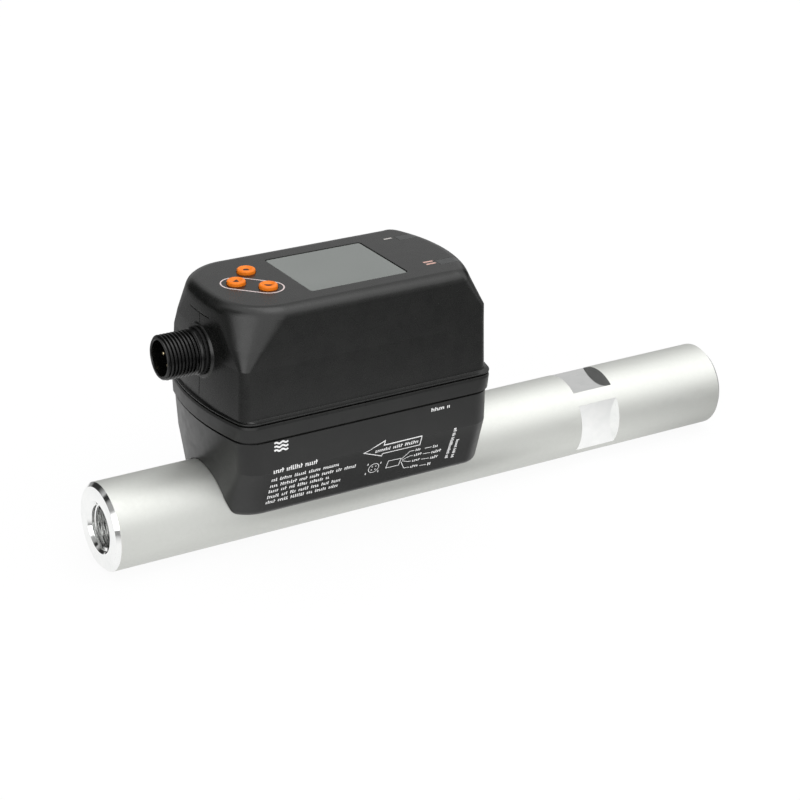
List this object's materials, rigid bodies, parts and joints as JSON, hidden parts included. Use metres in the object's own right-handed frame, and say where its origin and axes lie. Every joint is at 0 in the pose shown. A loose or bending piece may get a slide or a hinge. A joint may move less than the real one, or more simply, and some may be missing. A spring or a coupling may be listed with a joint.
{
  "type": "compressed air flow meter",
  "caption": "In-line thermal flow meter: a threaded aluminium measuring pipe under a black housing with a display, push buttons, output lights and a round plug connector.",
  "frame": {"origin": "on the pipe's axis, where the full thread of the outlet port begins, just behind its countersink", "axes": "+X along the pipe from the outlet to the inlet, +Y away from the side with the flow diagram, +Z from the pipe up through the housing to the display"},
  "size_m": [0.1965, 0.044, 0.0731],
  "materials": {
    "pipe_aluminium": "satin, with bright machined end faces and flats",
    "housing_plastic": "satin",
    "seal_rubber": "matte",
    "display_glass": "glossy, grey tint",
    "display_body": "satin",
    "button_plastic": "satin",
    "light_plastic": "glossy, translucent grey",
    "led_body": "glossy",
    "switch_plastic": "matte",
    "board_laminate": "satin solder mask",
    "socket_plastic": "matte",
    "ribbon_film": "glossy",
    "screw_steel": "bright",
    "connector_plastic": "satin",
    "insert_plastic": "matte",
    "contact_gold": "bright",
    "nut_brass": "plated",
    "probe_plastic": "matte",
    "element_ceramic": "matte ceramic"
  },
  "bodies": {
    "meter": {"measuring_pipe": "pipe_aluminium", "lower_housing": "housing_plastic", "upper_housing": "housing_plastic", "housing_gasket": "seal_rubber", "display_window": "display_glass", "display_gasket": "seal_rubber", "display_module": "display_body", "display_ribbon": "ribbon_film", "display_ribbon_socket": "socket_plastic", "enter_switch": "switch_plastic", "up_switch": "switch_plastic", "down_switch": "switch_plastic", "button_seal": "seal_rubber", "output_light_1": "light_plastic", "output_light_2": "light_plastic", "output_led_1": "led_body", "output_led_2": "led_body", "control_board": "board_laminate", "control_board_screws": "screw_steel", "main_board": "board_laminate", "main_board_screws": "screw_steel", "board_ribbon": "ribbon_film", "control_ribbon_socket": "socket_plastic", "main_ribbon_socket": "socket_plastic", "connector_body": "connector_plastic", "connector_insert": "insert_plastic", "contact_pin_1": "contact_gold", "contact_pin_2": "contact_gold", "contact_pin_3": "contact_gold", "contact_pin_4": "contact_gold", "connector_seal": "seal_rubber", "connector_nut": "nut_brass", "connector_board": "board_laminate", "connector_ribbon": "ribbon_film", "connector_ribbon_socket": "socket_plastic", "sensor_probe": "probe_plastic", "probe_seal": "seal_rubber", "heated_element": "element_ceramic", "reference_element": "element_ceramic", "probe_screws": "screw_steel", "port_seal": "seal_rubber", "probe_header": "socket_plastic", "housing_screws": "screw_steel"},
    "enter_button": {"enter_button": "button_plastic"},
    "up_button": {"up_button": "button_plastic"},
    "down_button": {"down_button": "button_plastic"}
  },
  "joints": [
    {"name": "enter_press", "type": "slide", "parent": "meter", "child": "enter_button", "axis": [0, 0, -1], "range_m": [0, 0.0006], "stiffness_N_per_m": 2500},
    {"name": "up_press", "type": "slide", "parent": "meter", "child": "up_button", "axis": [0, 0, -1], "range_m": [0, 0.0006], "stiffness_N_per_m": 2500},
    {"name": "down_press", "type": "slide", "parent": "meter", "child": "down_button", "axis": [0, 0, -1], "range_m": [0, 0.0006], "stiffness_N_per_m": 2500}
  ]
}
